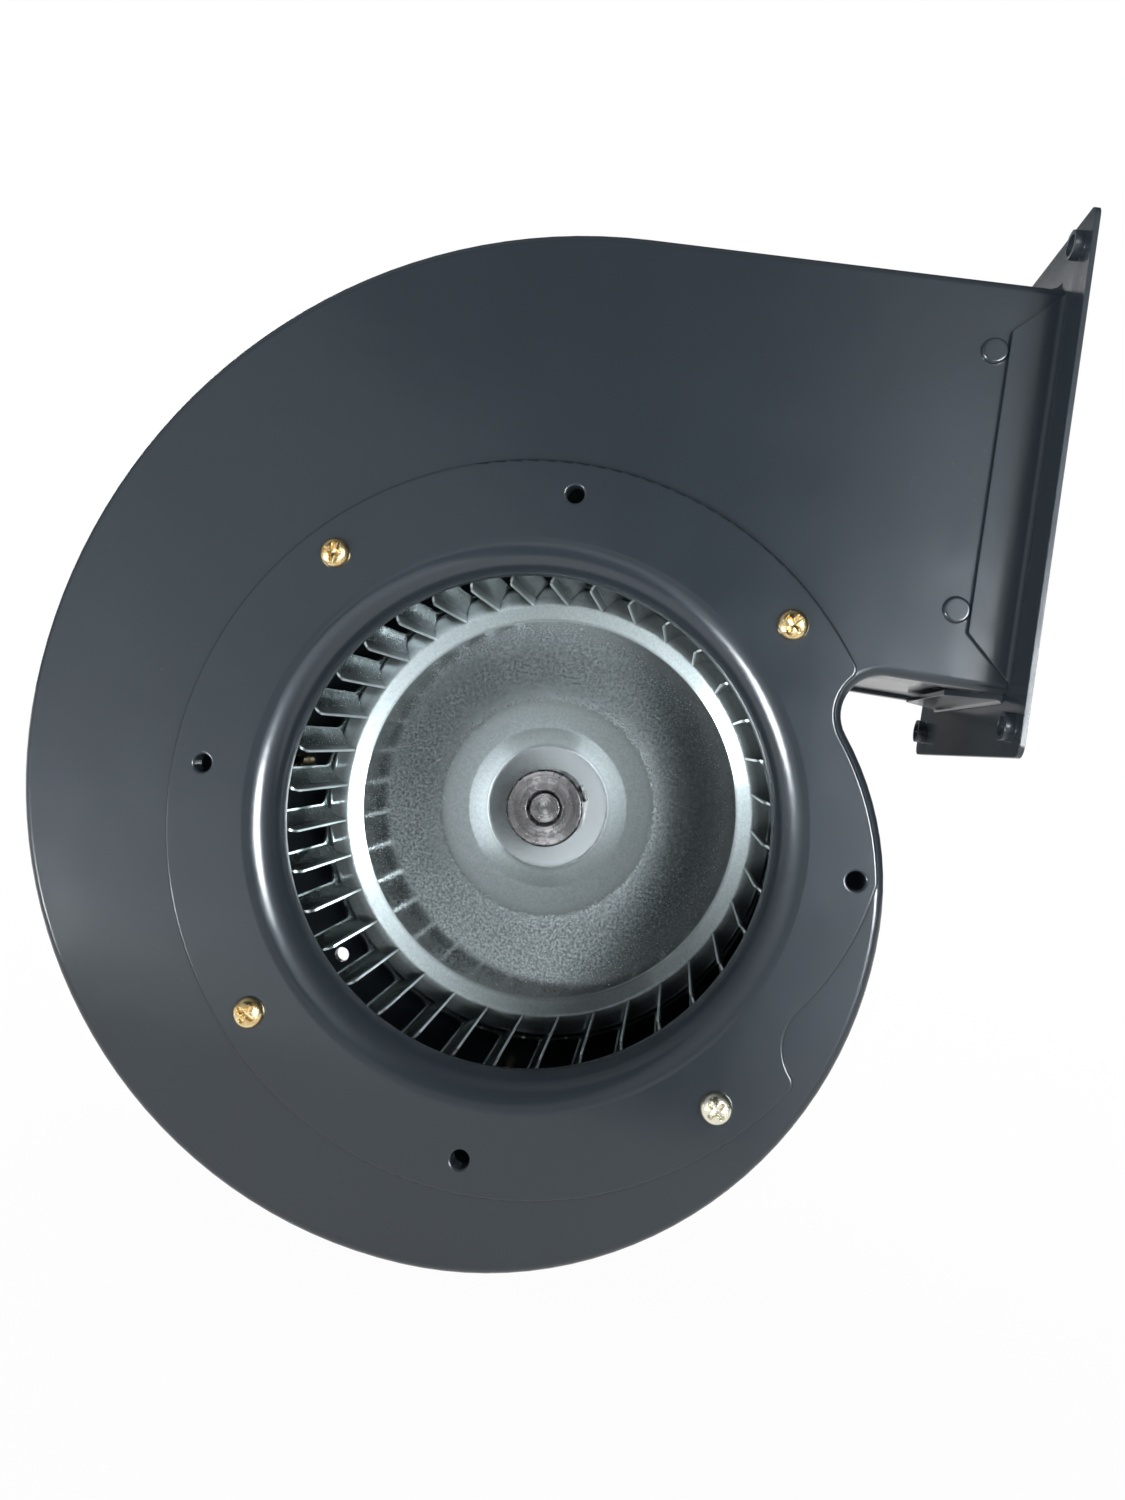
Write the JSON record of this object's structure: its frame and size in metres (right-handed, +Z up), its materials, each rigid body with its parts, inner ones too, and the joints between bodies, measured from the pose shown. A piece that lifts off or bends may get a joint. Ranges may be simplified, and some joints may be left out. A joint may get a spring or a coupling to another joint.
{
  "type": "blower motor",
  "caption": "Centrifugal blower: scroll housing with bell-mouthed inlet ring and flanged rectangular outlet, and a forward-curved impeller on the shaft of a motor behind it.",
  "frame": {"origin": "centre of the inlet ring's front face, on the shaft axis", "axes": "-Y out of the inlet along the shaft, +Y towards the motor, +X out of the outlet, +Z up"},
  "size_m": [0.2967, 0.248, 0.3348],
  "materials": {
    "housing_paint": "semi-gloss",
    "yellow_zinc": "satin",
    "galvanised_steel": "satin",
    "turned_steel": "satin",
    "black_steel": "matte",
    "bright_zinc": "satin",
    "motor_paint": "semi-gloss",
    "cast_aluminium": "satin",
    "laminations": "matte",
    "enamelled_copper": "satin",
    "cast_rings": "satin",
    "bearing_steel": "polished",
    "black_plastic": "matte",
    "brass_studs": "satin",
    "pale_plastic": "satin"
  },
  "bodies": {
    "housing": {"front_side_plate": "housing_paint", "back_side_plate": "housing_paint", "scroll_wrapper": "housing_paint", "inlet_ring": "housing_paint", "outlet_flange": "housing_paint", "motor_plate": "housing_paint", "inlet_ring_screws": "yellow_zinc", "motor_plate_screws": "yellow_zinc", "shield_bolts": "bright_zinc", "through_bolts": "bright_zinc", "cowl_screws": "bright_zinc", "lid_screws": "bright_zinc", "box_screws": "bright_zinc", "fan_cowl": "motor_paint", "drive_end_shield": "cast_aluminium", "rear_end_shield": "cast_aluminium", "motor_frame": "cast_aluminium", "stator_core": "laminations", "stator_windings": "enamelled_copper", "front_bearing_outer_ring": "bearing_steel", "rear_bearing_outer_ring": "bearing_steel", "preload_washer": "bearing_steel", "terminal_box": "black_plastic", "terminal_box_lid": "black_plastic", "terminal_block": "black_plastic", "cable_gland": "black_plastic", "gland_locknut": "black_plastic", "terminal_studs": "brass_studs", "capacitor": "pale_plastic"},
    "rotor": {"impeller_blades": "galvanised_steel", "impeller_front_ring": "galvanised_steel", "impeller_back_disc": "galvanised_steel", "impeller_hub": "turned_steel", "hub_set_screw": "black_steel", "shaft": "turned_steel", "rotor_core": "laminations", "rotor_end_rings": "cast_rings", "front_bearing_inner_ring": "bearing_steel", "front_bearing_balls": "bearing_steel", "rear_bearing_inner_ring": "bearing_steel", "rear_bearing_balls": "bearing_steel", "cooling_fan": "black_plastic", "fan_retaining_ring": "bright_zinc"}
  },
  "joints": [
    {"name": "rotor_spin", "type": "hinge", "parent": "housing", "child": "rotor", "pos_m": [0, 0.04325, 0], "axis": [0, 1, 0], "continuous": true}
  ]
}
